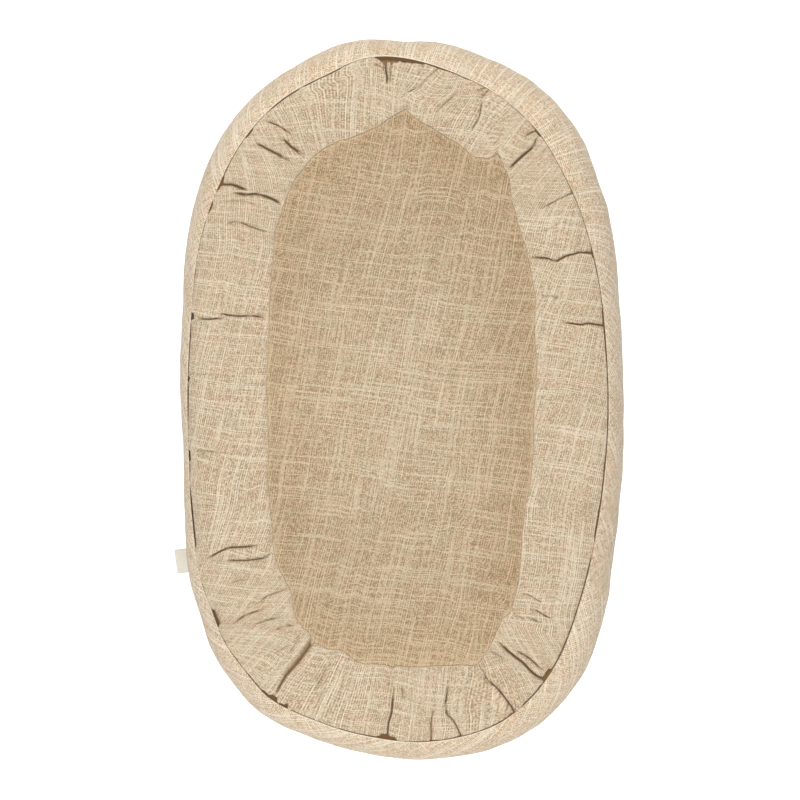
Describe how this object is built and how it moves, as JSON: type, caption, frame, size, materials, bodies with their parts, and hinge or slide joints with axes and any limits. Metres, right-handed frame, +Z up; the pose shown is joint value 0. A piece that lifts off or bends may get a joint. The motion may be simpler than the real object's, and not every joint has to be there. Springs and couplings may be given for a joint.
{
  "type": "infant lounger",
  "caption": "Soft oval infant lounger: padded wall round a thin padded floor, gathered top sheet, outer side band and zipped padded base.",
  "frame": {"origin": "on the surface that the lounger stands on, under the middle of its box, which takes in the side label", "axes": "+Z up, +Y towards the head end, +X towards the side without the label"},
  "size_m": [0.465, 0.7416, 0.1],
  "materials": {
    "linen": "slub linen-look weave, matt",
    "base_linen": "slub linen-look weave, matt",
    "lining": "fine plain weave, matt",
    "wadding": "loose polyester fibre",
    "label_tape": "woven tape, bare",
    "zip_tape": "herringbone tape",
    "zip_coil": "nylon coil",
    "zip_metal": "satin nickel"
  },
  "bodies": {
    "cover_and_inserts": {"side_band": "linen", "top_sheet": "linen", "side_label": "label_tape", "bumper_casing_outer": "lining", "bumper_casing_inner": "lining", "bumper_fill": "wadding", "mattress_casing_top": "lining", "mattress_casing_bottom": "lining", "mattress_core": "wadding", "base_panel_left": "base_linen", "base_panel_right": "base_linen", "base_wadding_left": "wadding", "base_wadding_right": "wadding", "zip_facing_left": "base_linen", "zip_facing_right": "base_linen", "zip_tape_left": "zip_tape", "zip_tape_right": "zip_tape", "zip_coil_left": "zip_coil", "zip_coil_right": "zip_coil", "zip_top_stop_left": "zip_metal", "zip_top_stop_right": "zip_metal", "zip_bottom_stop": "zip_metal"},
    "slider": {"zip_slider": "zip_metal"},
    "pull": {"zip_pull": "zip_metal"}
  },
  "joints": [
    {"name": "zip_slide", "type": "slide", "parent": "cover_and_inserts", "child": "slider", "axis": [0, -1, 0], "range_m": [0, 0.462]},
    {"name": "pull_hinge", "type": "hinge", "parent": "slider", "child": "pull", "pos_m": [0.00401, 0.23089, 0.0021], "axis": [1, 0, 0], "range_deg": [0, 175]}
  ]
}
